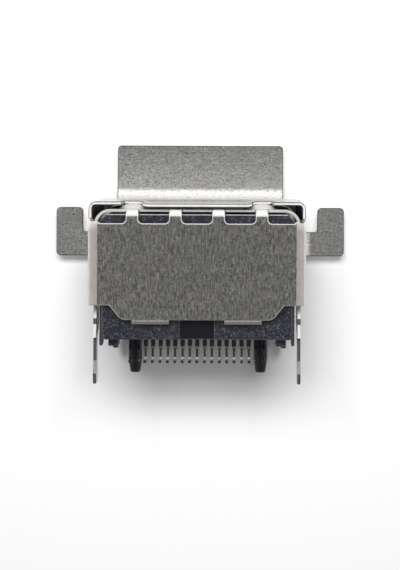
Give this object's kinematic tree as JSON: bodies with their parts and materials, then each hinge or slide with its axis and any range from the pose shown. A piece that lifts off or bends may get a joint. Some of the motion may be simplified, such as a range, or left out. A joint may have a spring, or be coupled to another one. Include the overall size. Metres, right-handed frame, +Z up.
{
  "type": "digital video socket",
  "caption": "Elevated board socket for a digital video plug: folded steel shell with rear flap and legs, saddle bracket with panel flange and ears, dark moulded housing.",
  "frame": {"origin": "on the board's top face, midway between the two locating pegs", "axes": "+Z up from the board, +Y out of the mouth, +X to the right when seen from behind"},
  "size_m": [0.022, 0.0118, 0.0167],
  "materials": {
    "shell_steel": "satin nickel plate",
    "bracket_steel": "satin nickel plate",
    "housing_plastic": "moulded, fine speckle",
    "spacer_plastic": "moulded, fine speckle",
    "contact_metal": "plated, satin"
  },
  "bodies": {
    "root": {"inner_shell": "shell_steel", "mounting_bracket": "bracket_steel", "housing": "housing_plastic", "tail_spacer": "spacer_plastic", "contact_01": "contact_metal", "contact_02": "contact_metal", "contact_03": "contact_metal", "contact_04": "contact_metal", "contact_05": "contact_metal", "contact_06": "contact_metal", "contact_07": "contact_metal", "contact_08": "contact_metal", "contact_09": "contact_metal", "contact_10": "contact_metal", "contact_11": "contact_metal", "contact_12": "contact_metal", "contact_13": "contact_metal", "contact_14": "contact_metal", "contact_15": "contact_metal", "contact_16": "contact_metal", "contact_17": "contact_metal", "contact_18": "contact_metal", "contact_19": "contact_metal"}
  },
  "joints": []
}
